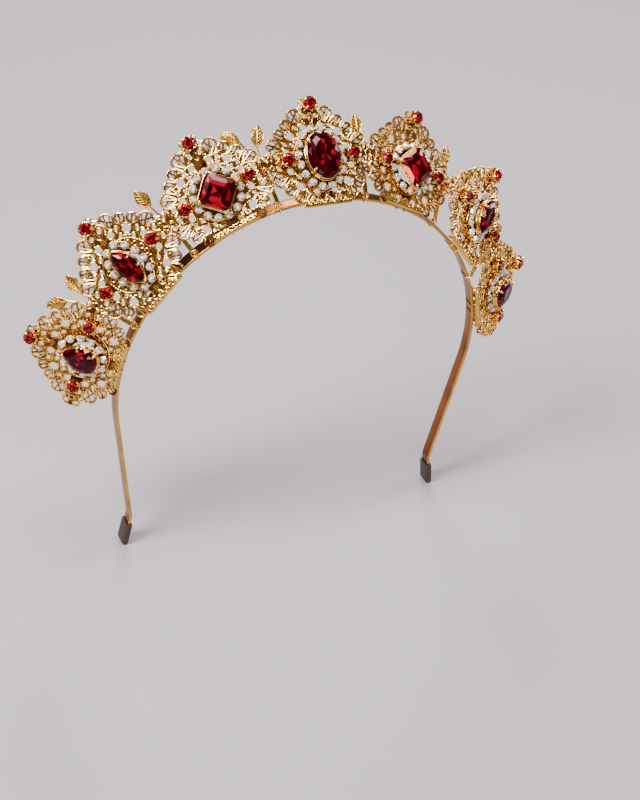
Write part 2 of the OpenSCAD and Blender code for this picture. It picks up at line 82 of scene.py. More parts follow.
class CrownSizes(bpy.types.PropertyGroup):
    """Sizes that place and shape the pieces."""

    band_edge: bpy.props.FloatProperty(
        name="Band edge", description="Rounding of the strip's edges",
        default=0.22 * MM, unit="LENGTH")
    pitch: bpy.props.FloatProperty(
        name="Plate pitch", description="Angle along the band from one plate to the next",
        default=math.radians(26.19), subtype="ANGLE")
    lean_middle: bpy.props.FloatProperty(
        name="Lean", description="Backward lean of the middle plate",
        default=math.radians(46.5), subtype="ANGLE")
    lean_fall: bpy.props.FloatProperty(
        name="Lean fall", description="Lean lost by each plate further from the middle",
        default=math.radians(3), subtype="ANGLE")
    lift: bpy.props.FloatProperty(
        name="Plate lift", description="How far every second plate stands in front",
        default=2.4 * MM, unit="LENGTH")
    rise: bpy.props.FloatProperty(
        name="Plate rise", description="Distance up a rear plate from its fold to its middle",
        default=14.4 * MM, unit="LENGTH")
    fold_front: bpy.props.FloatProperty(
        name="Fold front", description="How far the rear plates' folds stand before the band",
        default=1 * MM, unit="LENGTH")
    foot_gap: bpy.props.FloatProperty(
        name="Foot gap", description="Gap between the band and the folded feet",
        default=0.1 * MM, unit="LENGTH")
    plate_t: bpy.props.FloatProperty(
        name="Sheet thickness", description="Thickness of the stamped sheet",
        default=0.8 * MM, unit="LENGTH")
    halo_t: bpy.props.FloatProperty(
        name="Halo base", description="Thickness of the base under the clear stones",
        default=0.6 * MM, unit="LENGTH")
    girdle_z: bpy.props.FloatProperty(
        name="Girdle height", description="Height of a large stone's girdle above the halo's base",
        default=4 * MM, unit="LENGTH")
    cup_d: bpy.props.FloatProperty(
        name="Cup diameter", description="Outside diameter of the clear stones' cups",
        default=3.1 * MM, unit="LENGTH")
    cup_h: bpy.props.FloatProperty(
        name="Cup height", description="Height of the clear stones' cups",
        default=1.5 * MM, unit="LENGTH")
    clear_d: bpy.props.FloatProperty(
        name="Clear stone", description="Diameter of the clear stones",
        default=2.7 * MM, unit="LENGTH")
    accent_d: bpy.props.FloatProperty(
        name="Accent stone", description="Diameter of the small red stones",
        default=4.8 * MM, unit="LENGTH")
    accent_side: bpy.props.FloatProperty(
        name="Side accents", description="Distance of the side accents from the plate's middle",
        default=13.1 * MM, unit="LENGTH")
    accent_top: bpy.props.FloatProperty(
        name="Top accent", description="Distance of the top accent from the plate's middle",
        default=20.3 * MM, unit="LENGTH")
    sprig_len: bpy.props.FloatProperty(
        name="Sprig length", description="Length of a sprig from its ring to the tip of its leaf",
        default=31 * MM, unit="LENGTH")


class CrownColours(bpy.types.PropertyGroup):
    """Colours of the metal, its painted shade, the stones' painted flashes and the stage."""

    gold: bpy.props.FloatVectorProperty(
        name="Gold", description="Polished gold of the raised metal", subtype="COLOR",
        size=3, min=0, max=1, default=(1.0, 0.60, 0.13))
    # Painted shade: darker gold painted on the sheet between the raised lines and, lighter, on the
    # band's broad faces
    painted_shade: bpy.props.FloatVectorProperty(
        name="Recess", description="Darker gold between the raised lines", subtype="COLOR",
        size=3, min=0, max=1, default=(0.16, 0.052, 0.012))
    # Painted flashes: the colour of the red stones' brightest painted reflections; darker facets
    # get shares of it
    ruby: bpy.props.FloatVectorProperty(
        name="Ruby", description="Bright flashes in the red stones", subtype="COLOR",
        size=3, min=0, max=1, default=(0.40, 0.0, 0.014))
    cap: bpy.props.FloatVectorProperty(
        name="Caps", description="Brown of the soft end caps", subtype="COLOR",
        size=3, min=0, max=1, default=(0.035, 0.018, 0.012))
    floor: bpy.props.FloatVectorProperty(
        name="Floor", description="Pale floor", subtype="COLOR",
        size=3, min=0, max=1, default=(0.37, 0.335, 0.37))


def sizes():
    return bpy.context.scene.crown_sizes


def colours():
    return bpy.context.scene.crown_colours


# ------------------------------------------------------------------ places

def name_of(i):
    return "middle" if i == 0 else f"{'right' if i < 0 else 'left'}_{abs(i)}"


def plates_of(kind):
    """The plates that carry that kind of large stone."""
    return [i for i in PLATES if KINDS[abs(i)] == kind]


def lean(i):
    s = sizes()
    return s.lean_middle - s.lean_fall * abs(i)


def lift(i):
    return sizes().lift if abs(i) % 2 == 0 else 0.0


def rise(i):
    return sizes().rise + lift(i) * math.tan(lean(i))


def plate_matrix(i):
    """Place of plate i: its origin is the middle of the sheet's back, Y runs up it and Z out of its
    front."""
    s = sizes()
    fold_y = -s.fold_front - lift(i) / math.cos(lean(i))
    fold_r = BAND_OUTER_R + s.foot_gap + s.plate_t
    return (Matrix.Rotation(i * s.pitch, 4, "Y")
            @ Matrix.Translation((0, fold_y, fold_r))
            @ Matrix.Rotation(math.pi / 2 - lean(i), 4, "X")
            @ Matrix.Translation((0, rise(i), 0)))


# Distance up a sprig from the band's edge to the middle of its ring
RING_UP = 1.3 * MM


def sprig_matrix(g):
    """Place of sprig g: its origin is its ring's middle at its back, Y runs up it and Z out of its
    front."""
    s = sizes()
    step = abs(g - MIDDLE_GAP)
    angle = (lean(int(step)) + lean(int(step) + 1)) / 2
    return (Matrix.Rotation((g - MIDDLE_GAP) * s.pitch, 4, "Y")
            @ Matrix.Translation((0, -s.foot_gap, BAND_OUTER_R))
            @ Matrix.Rotation(math.pi / 2 - angle, 4, "X")
            @ Matrix.Translation((0, RING_UP, 0)))


# ------------------------------------------------------------------ bench

# A face looks upwards when its normal has at least this much Z
UPWARD = 0.9


def pick(*objs):
    """Selects only these objects, the first one active."""
    if bpy.context.object and bpy.context.object.mode != "OBJECT":
        bpy.ops.object.mode_set(mode="OBJECT")
    bpy.ops.object.select_all(action="DESELECT")
    for o in objs:
        o.select_set(True)
    bpy.context.view_layer.objects.active = objs[0]


def edit(obj, test=None):
    """Enters edit mode with the faces that pass the test selected, or all of them."""
    pick(obj)
    bpy.ops.object.mode_set(mode="EDIT")
    bpy.ops.mesh.select_mode(type="FACE")
    bpy.ops.mesh.select_all(action="SELECT" if test is None else "DESELECT")
    if test is not None:
        bpy.ops.object.mode_set(mode="OBJECT")
        for f in obj.data.polygons:
            f.select = test(f)
        bpy.ops.object.mode_set(mode="EDIT")


def done():
    bpy.ops.object.mode_set(mode="OBJECT")


def applied(obj, kind, **settings):
    """Adds a modifier, sets it and applies it."""
    pick(obj)
    m = obj.modifiers.new(kind.title(), kind)
    for key, value in settings.items():
        setattr(m, key, value)
    bpy.ops.object.modifier_apply(modifier=m.name)
    return obj


def joined(objs):
    pick(*objs)
    bpy.ops.object.join()
    return objs[0]


def frozen(*objs):
    """Applies the objects' own moves, turns and scales to their meshes."""
    pick(*objs)
    bpy.ops.object.transform_apply(location=True, rotation=True, scale=True)
    return objs[0]


def mesh_of(curve):
    """An object with the curve's surface as its mesh."""
    obj = bpy.data.objects.new(curve.name, curve)
    bpy.context.scene.collection.objects.link(obj)
    pick(obj)
    bpy.ops.object.convert(target="MESH")
    return bpy.context.object


def copy_of(obj, matrix=None):
    """A copy with its own mesh, placed by the matrix."""
    new = obj.copy()
    new.data = obj.data.copy()
    bpy.context.scene.collection.objects.link(new)
    if matrix is not None:
        new.data.transform(matrix)
    return new


def removed(*objs):
    for o in objs:
        bpy.data.objects.remove(o)


def smooth(obj, angle=40):
    pick(obj)
    bpy.ops.object.shade_smooth_by_angle(angle=math.radians(angle))
    return obj


def finished(obj, name, slot, *nodes):
    """Names a finished piece, sets what it rides on and hides the nodes it stands for. Its slot is
    not used.
    """
    obj.name = name
    obj.data.name = name
    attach(obj, "root")
    if nodes:
        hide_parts(*nodes)
    return obj


WELD = 0.004 * MM
FLAT_DEGREES = 1
EDGE_DEGREES = 35


def cad_copy(node, width=0.0, segments=2, matrix=None):
    """A copy of a CAD node with its triangles merged into faces and, where a width is given, its
    edges rounded."""
    obj = copy_of(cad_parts[node])
    for key in list(obj.keys()):
        del obj[key]
    obj.parent = None
    obj.hide_render = obj.hide_viewport = False
    if matrix is not None:
        obj.data.transform(matrix)
    edit(obj)
    bpy.ops.mesh.remove_doubles(threshold=WELD)
    bpy.ops.mesh.dissolve_limited(angle_limit=math.radians(FLAT_DEGREES))
    done()
    if width:
        applied(obj, "BEVEL", width=width, segments=segments, limit_method="ANGLE",
                angle_limit=math.radians(EDGE_DEGREES), use_clamp_overlap=True)
    return obj


WIRE_SIDES = 2


def curve_object(splines, radius, steps):
    """Round wires as a mesh, each along a list of points and closed or open. A point is (x, y, z)
    or (x, y, z, share of the radius), in millimetres."""
    data = bpy.data.curves.new("wires", "CURVE")
    data.dimensions = "3D"
    data.bevel_depth = radius * MM
    data.bevel_resolution = WIRE_SIDES
    data.resolution_u = steps
    data.use_fill_caps = True
    for points, closed in splines:
        spline = data.splines.new("BEZIER")
        spline.bezier_points.add(len(points) - 1)
        spline.use_cyclic_u = closed
        for p, q in zip(spline.bezier_points, points):
            p.co = Vector(q[:3]) * MM
            p.handle_left_type = p.handle_right_type = "AUTO"
            p.radius = q[3] if len(q) > 3 else 1.0
    return mesh_of(data)


def painted(obj, *materials):
    obj.data.materials.clear()
    for m in materials:
        obj.data.materials.append(m)
    return obj


# ------------------------------------------------------------------ materials

def new_material(name):
    m = bpy.data.materials.new(name)
    m.use_nodes = True
    return m, m.node_tree.nodes, m.node_tree.links, m.node_tree.nodes["Principled BSDF"]


def object_noise(nodes, links, scale, detail=3.0):
    place = nodes.new("ShaderNodeTexCoord")
    noise = nodes.new("ShaderNodeTexNoise")
    noise.inputs["Scale"].default_value = scale
    noise.inputs["Detail"].default_value = detail
    links.new(place.outputs["Object"], noise.inputs["Vector"])
    return noise


def ramp(nodes, links, source, stops):
    r = nodes.new("ShaderNodeValToRGB")
    while len(r.color_ramp.elements) < len(stops):
        r.color_ramp.elements.new(0.5)
    for e, (at, colour) in zip(r.color_ramp.elements, stops):
        e.position = at
        e.color = (*colour, 1)
    links.new(source, r.inputs["Fac"])
    return r


# Most of a noise's values lie between these two
NOISE_LOW, NOISE_HIGH = 0.3, 0.7


def mapped(nodes, links, source, low, high):
    m = nodes.new("ShaderNodeMapRange")
    m.inputs["From Min"].default_value = NOISE_LOW
    m.inputs["From Max"].default_value = NOISE_HIGH
    m.inputs["To Min"].default_value = low
    m.inputs["To Max"].default_value = high
    links.new(source, m.inputs["Value"])
    return m


def bumped(nodes, links, shader, source, distance, strength):
    b = nodes.new("ShaderNodeBump")
    b.inputs["Strength"].default_value = strength
    b.inputs["Distance"].default_value = distance
    links.new(source, b.inputs["Height"])
    links.new(b.outputs["Normal"], shader.inputs["Normal"])


PATCH_SCALE = 260.0
BAND_PATCH_SCALE = 120.0
GRAIN_SCALE = 2600.0
GRAIN_DEPTH = 0.06 * MM


def metal(name, colour, dark, rough_low, rough_high, patch=PATCH_SCALE):
    """Plated metal: patches of a deeper tone, a hazy polish and a fine cast grain."""
    m, nodes, links, shader = new_material(name)
    shader.inputs["Metallic"].default_value = 1.0
    patches = object_noise(nodes, links, patch)
    tone = ramp(nodes, links, patches.outputs["Fac"], [(0.32, dark), (0.62, colour)])
    links.new(tone.outputs["Color"], shader.inputs["Base Color"])
    fine = object_noise(nodes, links, GRAIN_SCALE, 4.0)
    rough = mapped(nodes, links, fine.outputs["Fac"], rough_low, rough_high)
    links.new(rough.outputs["Result"], shader.inputs["Roughness"])
    bumped(nodes, links, shader, fine.outputs["Fac"], GRAIN_DEPTH, 0.25)
    return m


def scaled(colour, k):
    return tuple(min(1.0, c * k) for c in colour)


CLOUD_SCALE = 900.0
CLOUD_SHARE = 0.22
FOIL_METALLIC = 0.4


def foiled_glass(name, stops, rough, ior):
    """Faceted glass on foil: each facet's own painted flash, a painted reflection, sets how bright
    its colour is, in place of the light that comes back through it.
    """
    m, nodes, links, shader = new_material(name)
    painted_flash = nodes.new("ShaderNodeAttribute")
    painted_flash.attribute_name = "painted_flash"
    cloud = object_noise(nodes, links, CLOUD_SCALE, 2.0)
    mix = nodes.new("ShaderNodeMath")
    mix.operation = "MULTIPLY_ADD"
    mix.inputs[1].default_value = CLOUD_SHARE
    links.new(cloud.outputs["Fac"], mix.inputs[0])
    links.new(painted_flash.outputs["Fac"], mix.inputs[2])
    tone = ramp(nodes, links, mix.outputs["Value"], stops)
    links.new(tone.outputs["Color"], shader.inputs["Base Color"])
    shader.inputs["Metallic"].default_value = FOIL_METALLIC
    shader.inputs["Roughness"].default_value = rough
    shader.inputs["IOR"].default_value = ior
    return m


PLASTIC_SCALE = 3500.0
PLASTIC_DEPTH = 0.1 * MM


def soft_plastic(name, colour):
    m, nodes, links, shader = new_material(name)
    fine = object_noise(nodes, links, PLASTIC_SCALE)
    tone = ramp(nodes, links, fine.outputs["Fac"],
                [(NOISE_LOW, scaled(colour, 0.7)), (NOISE_HIGH, scaled(colour, 1.35))])
    links.new(tone.outputs["Color"], shader.inputs["Base Color"])
    shader.inputs["Roughness"].default_value = 0.55
    bumped(nodes, links, shader, fine.outputs["Fac"], PLASTIC_DEPTH, 0.3)
    return m


_made = {}


def material(key):
    """The material of that finish, made when it is first asked for."""
    if key not in _made:
        c = colours()

        def gilt(name, k, dark_k, *rest):
            return lambda: metal(name, scaled(c.gold, k), scaled(c.gold, dark_k), *rest)

        # Metal in the painted shade's colour
        def painted_shade_metal(name, k, dark_k, *rest):
            return lambda: metal(name, scaled(c.painted_shade, k), scaled(c.painted_shade, dark_k), *rest)

        makers = {
            "relief": gilt("gold_relief", 1, 0.72, 0.10, 0.26),
            "painted_shade": painted_shade_metal("gold_recess_painted_shade", 1, 0.5, 0.3, 0.5),
            "sheet": gilt("gold_sheet", 0.9, 0.6, 0.2, 0.4),
            "setting": gilt("gold_setting", 1, 0.75, 0.08, 0.2),
            "leaf": gilt("gold_leaf", 0.95, 0.55, 0.14, 0.3),
            "band": gilt("gold_band", 0.62, 0.4, 0.16, 0.3, BAND_PATCH_SCALE),
            "painted_shade_metal": painted_shade_metal("painted_shade_band", 1.7, 1, 0.22, 0.4, BAND_PATCH_SCALE),
            "wire": gilt("gold_wire", 0.9, 0.6, 0.2, 0.35),
            # The ramps turn each facet's painted flash into its colour, from painted dark facets to
            # painted bright ones
            "ruby": lambda: foiled_glass("ruby_glass", [
                (0.0, (0.006, 0.0, 0.001)), (0.5, scaled(c.ruby, 0.10)),
                (0.8, scaled(c.ruby, 0.38)), (1.0, tuple(c.ruby))], 0.12, 1.35),
            "clear": lambda: foiled_glass("clear_glass", [
                (0.0, (0.05, 0.05, 0.05)), (0.3, (0.42, 0.41, 0.41)),
                (0.55, (1.0, 0.99, 0.97))], 0.05, 1.8),
            "cap": lambda: soft_plastic("soft_brown", tuple(c.cap)),
        }
        _made[key] = makers[key]()
    return _made[key]


# ------------------------------------------------------------------ band

CAP_EDGE = 0.25 * MM
# A face of the band is one of its broad ones above this area, if its normal has no more Y than this
BROAD_AREA = 0.9 * MM * MM
BROAD_Y = 0.05


class CROWN_OT_band(bpy.types.Operator):
    """Spring strip of the headband, with rounded edges"""

    bl_idname = "crown.band"
    bl_label = "Headband"

    def execute(self, context):
        band = cad_copy("headband", sizes().band_edge, 3)
        painted(smooth(band, 30), material("band"), material("painted_shade_metal"))
        # The band's broad faces get the painted shade's material; its edges keep the gold
        for f in band.data.polygons:
            f.material_index = int(abs(f.normal.y) < BROAD_Y and f.area > BROAD_AREA)
        finished(band, "spring_band", "band_gold", "headband")
        return {"FINISHED"}


class CROWN_OT_caps(bpy.types.Operator):
    """Soft caps on the two tips of the band"""

    bl_idname = "crown.caps"
    bl_label = "End caps"

    def execute(self, context):
        for side in ("right", "left"):
            cap = cad_copy(f"end_cap_{side}", CAP_EDGE, 3)
            painted(smooth(cap, 30), material("cap"))
            finished(cap, f"tip_cap_{side}", "cap_brown", f"end_cap_{side}")
        return {"FINISHED"}


class CROWN_OT_ties(bpy.types.Operator):
    """Binding wire of the plates and sprigs"""

    bl_idname = "crown.ties"
    bl_label = "Binding wires"

    def execute(self, context):
        for node in ("plate_wires", "sprig_wires"):
            painted(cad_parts[node], material("wire"))
        return {"FINISHED"}


# ------------------------------------------------------------------ filigree

def arc(x, y, r, start, end, z, share=1.0, step=45):
    """Points of an arc, its angles in degrees from +X."""
    count = max(2, round(abs(end - start) / step))
    return [(x + r * math.cos(math.radians(start + (end - start) * k / count)),
             y + r * math.sin(math.radians(start + (end - start) * k / count)), z, share)
            for k in range(count + 1)]


def ring(x, y, r, z, share=1.0, step=60):
    return arc(x, y, r, 0, 360, z, share, step)[:-1], True


def beads(x, y, r, start, end, z, pitch, big, small):
    """A wire along an arc, swelling into a bead at every pitch."""
    count = 2 * round(abs(math.radians(end - start)) * r / pitch)
    whole = abs(end - start) == 360
    line = arc(x, y, r, start, end, z, step=abs(end - start) / count)
    points = [(px, py, z, small if k % 2 else big) for k, (px, py, _, _) in enumerate(line)]
    return (points[:-1] if whole else points), whole


def stroke(points, z, share):
    return [(x, y, z, share) for x, y in points], False


# Heights of the raised lines above the back of the sheet, in millimetres. The sheet behind them is
# SINK thinner than the stamped relief as a whole.
LINE_Z = 0.40
RIM_Z = 0.47
SINK = 0.35
LINE_R = 0.34

# Middles and radii of a plate's scallops and rings, in millimetres from the plate's middle
LOBE, LOBE_R = (6.2, 16.6), 2.85
PETAL, PETAL_R = (10.51, 13.74), 1.85
SIDE_RING, SIDE_RING_R = (9.62, 9.62), 1.85
INNER_RINGS, INNER_RINGS_AT, INNER_RING_R = 20, 8.3, 0.85
BEADED_R = 10.0


def eighth_of_plate():
    """Raised lines between a corner's axis and the next diagonal, the corner along +Y."""
    return [
        ring(2.05, 21.45, 1.1, RIM_Z, 0.9),
        ring(1.95, 19.25, 0.72, LINE_Z, 0.75),
        (arc(0, 19.7, 1.0, -90, 90, RIM_Z, 0.8), False),
        (arc(*LOBE, LOBE_R, -55, 215, LINE_Z, 0.95), False),
        beads(*LOBE, LOBE_R, -15, 165, RIM_Z + 0.06, 0.85, 0.95, 0.5),
        stroke([(5.7, 19.0), (5.2, 16.4), (4.75, 13.9)], LINE_Z, 0.7),
        stroke([(7.3, 18.6), (6.3, 16.1), (5.1, 13.9)], RIM_Z, 0.75),
        stroke([(8.4, 16.9), (7.1, 15.2), (5.5, 13.7)], LINE_Z, 0.7),
        stroke([(8.0, 14.3), (7.0, 13.4), (5.9, 13.0), (4.9, 13.7)], RIM_Z, 0.85),
        (arc(*PETAL, PETAL_R, -61, 219, RIM_Z, 0.95), False),
        stroke([(11.4, 12.12), (10.7, 11.2), (9.9, 10.9)], RIM_Z, 0.8),
        stroke([(9.07, 12.58), (9.2, 11.6), (9.6, 11.0)], RIM_Z, 0.8),
        stroke([(10.6, 15.4), (10.4, 13.2), (10.0, 11.3)], LINE_Z, 0.65),
        stroke([(9.4, 14.6), (9.9, 13.0), (9.85, 11.3)], LINE_Z, 0.6),
        ring(3.6, 12.2, 1.45, RIM_Z, 0.8),
        (arc(3.05, 14.15, 0.55, -150, 130, RIM_Z, 0.75), False),
        stroke([(0.42, 11.3), (0.4, 14.3), (0.45, 17.6)], LINE_Z, 0.62),
        stroke([(0.0, 13.7), (0.95, 15.3), (0.0, 17.1)], RIM_Z + 0.03, 0.7),
        ring(2.2, 16.4, 1.05, RIM_Z, 0.68),
        stroke([(0.8, 18.0), (3.2, 18.2), (4.2, 16.2), (4.7, 14.2)], RIM_Z, 0.8),
        stroke([(3.1, 20.7), (3.9, 19.7), (4.7, 19.2)], LINE_Z, 0.85),
        ring(6.7, 12.3, 0.95, LINE_Z, 0.65),
        ring(5.9, 9.3, 0.95, LINE_Z, 0.65),
        stroke([(5.3, 11.1), (6.9, 10.7), (7.9, 11.5), (8.3, 13.2), (8.9, 12.9)], RIM_Z, 0.75),
        stroke([(2.2, 10.6), (3.9, 10.1), (4.9, 10.9), (5.0, 12.2)], RIM_Z, 0.75),
        stroke([(6.9, 8.7), (7.9, 8.0), (8.2, 8.2)], LINE_Z, 0.7),
        ([(1.25, 12.2, RIM_Z, 0.9), (1.3, 12.6, RIM_Z, 0.9)], False),
    ]


def whole_plate():
    """Every raised line of a plate: the eighth, turned and mirrored, and the rings about the
    middle."""
    lines = []
    for turn in range(4):
        a = math.radians(90 * turn)
        c, s = math.cos(a), math.sin(a)
        for side in (1, -1):
            for points, closed in eighth_of_plate():
                lines.append(([(side * x * c - y * s, side * x * s + y * c, z, share)
                               for x, y, z, share in points], closed))
        x, y = SIDE_RING
        lines.append(ring(x * c - y * s, x * s + y * c, SIDE_RING_R, RIM_Z, 0.8))
    for k in range(INNER_RINGS):
        a = math.radians((k + 0.5) * 360 / INNER_RINGS)
        x, y = INNER_RINGS_AT * math.cos(a), INNER_RINGS_AT * math.sin(a)
        lines.append(ring(x, y, INNER_RING_R, LINE_Z, 0.75))
    lines.append(beads(0, 0, BEADED_R, 0, 360, RIM_Z, 1.0, 0.9, 0.45))
    return lines


def trimmed(obj, y):
    """Cuts away what lies below y, and closes the cuts."""
    edit(obj)
    bpy.ops.mesh.bisect(plane_co=(0, y, 0), plane_no=(0, 1, 0), clear_inner=True, use_fill=True)
    done()
    return obj


def relief(lines):
    return painted(smooth(curve_object(lines, LINE_R, 3)), material("relief"))


# Distance that the raised lines keep from the fold
FOLD_CLEAR = 0.35 * MM
# Small rings along each fold: their radius, how far above the fold they start, their step, and how
# many stand to each side of the middle
EDGE_RING_R = 0.72
EDGE_RING_UP = 0.2
EDGE_STEP = 1.85
EDGE_RINGS = 4
# A face within this depth below the sheet's front is part of the front
FRONT_DEPTH = 0.05 * MM


class CROWN_OT_plates(bpy.types.Operator):
    """Stamped filigree plates, each a pierced sheet with raised lines, folded over the band"""

    bl_idname = "crown.plates"
    bl_label = "Filigree plates"

    def execute(self, context):
        lace = relief(whole_plate())
        front = sizes().plate_t - FRONT_DEPTH
        for i in PLATES:
            place = plate_matrix(i)
            sheet = cad_copy(f"plate_{name_of(i)}", matrix=place.inverted())
            painted(sheet, material("sheet"), material("painted_shade"))
            # The sheet's front between the raised lines gets the painted shade's material, then
            # sinks below the lines
            shaded_front = [f for f in sheet.data.polygons if f.normal.z > UPWARD and f.center.z > front]
            for f in shaded_front:
                f.material_index = 1
            for v in {v for f in shaded_front for v in f.vertices}:
                sheet.data.vertices[v].co.z -= SINK * MM
            lines = trimmed(copy_of(lace), -rise(i) + FOLD_CLEAR)
            y = -rise(i) / MM + EDGE_RING_R + EDGE_RING_UP
            edge = [ring(EDGE_STEP * k, y, EDGE_RING_R, LINE_Z, 0.8)
                    for k in range(-EDGE_RINGS, EDGE_RINGS + 1)]
            plate = joined([sheet, joined([lines, relief(edge)])])
            plate.data.transform(place)
            finished(plate, f"filigree_{name_of(i)}", "plate_gold", f"plate_{name_of(i)}")
        removed(lace)
        return {"FINISHED"}


# ------------------------------------------------------------------ stones

# Length and width of each large stone, in millimetres
STONE_SIZES = {"oval": (18, 13), "square": (12, 12), "navette": (16, 8), "pear": (14, 10)}
# Facets round each large stone, and the shares of them whose painted flashes are bright and dark
LARGE_FACETS = {"oval": (16, 0.10, 0.70), "square": (16, 0.30, 0.40),
                "navette": (16, 0.20, 0.55), "pear": (16, 0.12, 0.65)}
# Heights of a stone above and below its girdle, and the girdle's own, in millimetres
CROWN_H = 1.7
PAVILION_H = 2.6
GIRDLE_T = 0.3
# A large stone's outline at its table, its crown's bend, its back's bend and its point, as shares
# of the girdle's, and the two bends' shares of the height
TABLE_SHARE = 0.6
CROWN_BEND, CROWN_BEND_UP = 0.84, 0.62
BACK_BEND, BACK_BEND_DOWN = 0.62, 0.55
POINT_SHARE = 0.1
# How far the table's inner facets stand in from its edge, as a share of the stone's width
TABLE_INSET = 0.13
FACET_DEGREES = 3
# Length that a corner takes off each side of the square stone, in millimetres
SQUARE_CUT = 0.6


def outline(kind, count, shift=0.0):
    """Points round a stone's girdle at equal steps, its long axis along Y, in millimetres."""
    length, width = STONE_SIZES[kind]
    points = []
    for k in range(count):
        t = (k + shift) / count
        a = 2 * math.pi * t
        if kind == "oval":
            points.append((width / 2 * math.cos(a), length / 2 * math.sin(a)))
        elif kind == "square":
            c, s = math.cos(a), math.sin(a)
            reach = max(abs(c), abs(s), (abs(c) + abs(s)) / (2 - 2 * SQUARE_CUT / length))
            x, y = length / 2 * c / reach, length / 2 * s / reach
            points.append(((x - y) / math.sqrt(2), (x + y) / math.sqrt(2)))
        elif kind == "navette":
            r = (length ** 2 + width ** 2) / (4 * width)
            half = math.asin(length / 2 / r)
            b = -half + 4 * half * t if t < 0.5 else -half + 4 * half * (t - 0.5)
            side = 1 if t < 0.5 else -1
            points.append((side * (r * math.cos(b) - r + width / 2), side * r * math.sin(b)))
        else:
            y0 = width / 2 - length / 2
            h = length / 2 - y0
            if math.sin(a) < 0:
                points.append((width / 2 * math.cos(a), y0 + width / 2 * math.sin(a)))
            else:
                r = (4 * h * h + width * width) / (4 * width)
                half = math.asin(h / r)
                b = half * (1 - abs(1 - 4 * t)) if t <= 0.5 else 0
                side = 1 if t <= 0.25 else -1
                points.append((side * (r * math.cos(b) - r + width / 2), y0 + r * math.sin(b)))
    return points


def hull_of(rings):
    """A closed gem: circles of points moved to their outlines, and wrapped in one convex skin."""
    parts = []
    for points, z in rings:
        bpy.ops.mesh.primitive_circle_add(vertices=len(points), radius=MM)
        part = bpy.context.object
        for v, (x, y) in zip(part.data.vertices, points):
            v.co = (x * MM, y * MM, z * MM)
        parts.append(part)
    gem = joined(parts)
    edit(gem)
    bpy.ops.mesh.convex_hull(join_triangles=True, face_threshold=math.radians(FACET_DEGREES),
                             shape_threshold=math.radians(FACET_DEGREES))
    done()
    return gem


def cut_table(gem, inset):
    """Divides the table as the facets below it show through it."""
    edit(gem, lambda f: f.normal.z > 0.999)
    bpy.ops.mesh.dissolve_faces()
    bpy.ops.mesh.inset(thickness=inset * MM, depth=-0.02 * MM)
    bpy.ops.mesh.poke(offset=-0.1 * MM)
    done()
    return gem


def with_painted_flashes(gem, seed, bright, dark):
    """Gives each facet its own painted flash, a painted reflection: some dark, some bright and the
    rest between.
    """
    rng = random.Random(seed)
    painted_flash = gem.data.attributes.new("painted_flash", "FLOAT", "FACE")
    for k in range(len(gem.data.polygons)):
        draw = rng.random()
        if draw < dark:
            painted_flash.data[k].value = 0.25 * rng.random()
        elif draw > 1 - bright:
            painted_flash.data[k].value = 0.75 + 0.2 * rng.random()
        else:
            painted_flash.data[k].value = 0.3 + 0.35 * rng.random()
    return gem


def shares(points, share):
    return [(x * share, y * share) for x, y in points]


def large_gem(kind, seed):
    count, bright, dark = LARGE_FACETS[kind]
    full = outline(kind, count)
    half = outline(kind, count, 0.5)
    gem = hull_of([
        (shares(half, TABLE_SHARE), GIRDLE_T + CROWN_H),
        (shares(full, CROWN_BEND), GIRDLE_T + CROWN_H * CROWN_BEND_UP),
        (half, GIRDLE_T), (half, 0),
        (shares(full, BACK_BEND), -PAVILION_H * BACK_BEND_DOWN),
        (shares(half, POINT_SHARE), -PAVILION_H)])
    return with_painted_flashes(cut_table(gem, min(STONE_SIZES[kind]) * TABLE_INSET), seed, bright, dark)


def round_gem(d, above, below, count, seed, inset):
    """A small round stone of that diameter, with its heights above and below its girdle."""
    full = [(d / 2 * math.cos(2 * math.pi * k / count), d / 2 * math.sin(2 * math.pi * k / count))
            for k in range(count)]
    turn = math.pi / count
    half = [(x * math.cos(turn) - y * math.sin(turn), x * math.sin(turn) + y * math.cos(turn))
            for x, y in full]
    gem = hull_of([(shares(half, 0.58), above), (full, GIRDLE_T / 2), (half, 0),
                   (shares(half, 0.12), -below)])
    return with_painted_flashes(cut_table(gem, inset), seed, 0.4, 0.35)


# The first large stone's seed for its facets' flashes
FIRST_SEED = 11


def stone_height():
    """Height of a large stone's girdle above the back of its plate."""
    s = sizes()
    return s.plate_t + s.halo_t + s.girdle_z


class CROWN_OT_stones(bpy.types.Operator):
    """Large faceted red stones"""

    bl_idname = "crown.stones"
    bl_label = "Large stones"

    def execute(self, context):
        for n, kind in enumerate(KINDS):
            gem = painted(large_gem(kind, FIRST_SEED + n), material("ruby"))
            up = Matrix.Translation((0, 0, stone_height()))
            for i in plates_of(kind):
                stone = copy_of(gem, plate_matrix(i) @ up)
                node = f"{kind}_stone_{name_of(i)}"
                finished(stone, f"{kind}_gem_{name_of(i)}", "ruby_glass", node)
            removed(gem)
        return {"FINISHED"}


# ------------------------------------------------------------------ halos

# Distance of the cups' line outside the stone, how much closer it is at the tips of the navette
# and the pear, its radius round the square, and the least space between two cups, in millimetres
HALO_MARGIN = 2.1
HALO_TUCK = 0.5
SQUARE_HALO_R = 8.8
CUP_SPACE = 0.75
# The halo's base: how far it reaches outside the cups' line, its width and its edges' rounding
BASE_MARGIN = 0.9
BASE_WIDTH = 1.9
BASE_EDGE = 0.14
# A cup's foot, rim and claws as shares of its diameter, its wall, and its claws' size and height
CUP_FOOT, CUP_RIM, CUP_CLAWS = 0.36, 0.44, 0.435
CUP_WALL = 0.16
CLAW_TIP = 0.30
CLAW_TIP_UP = 0.12


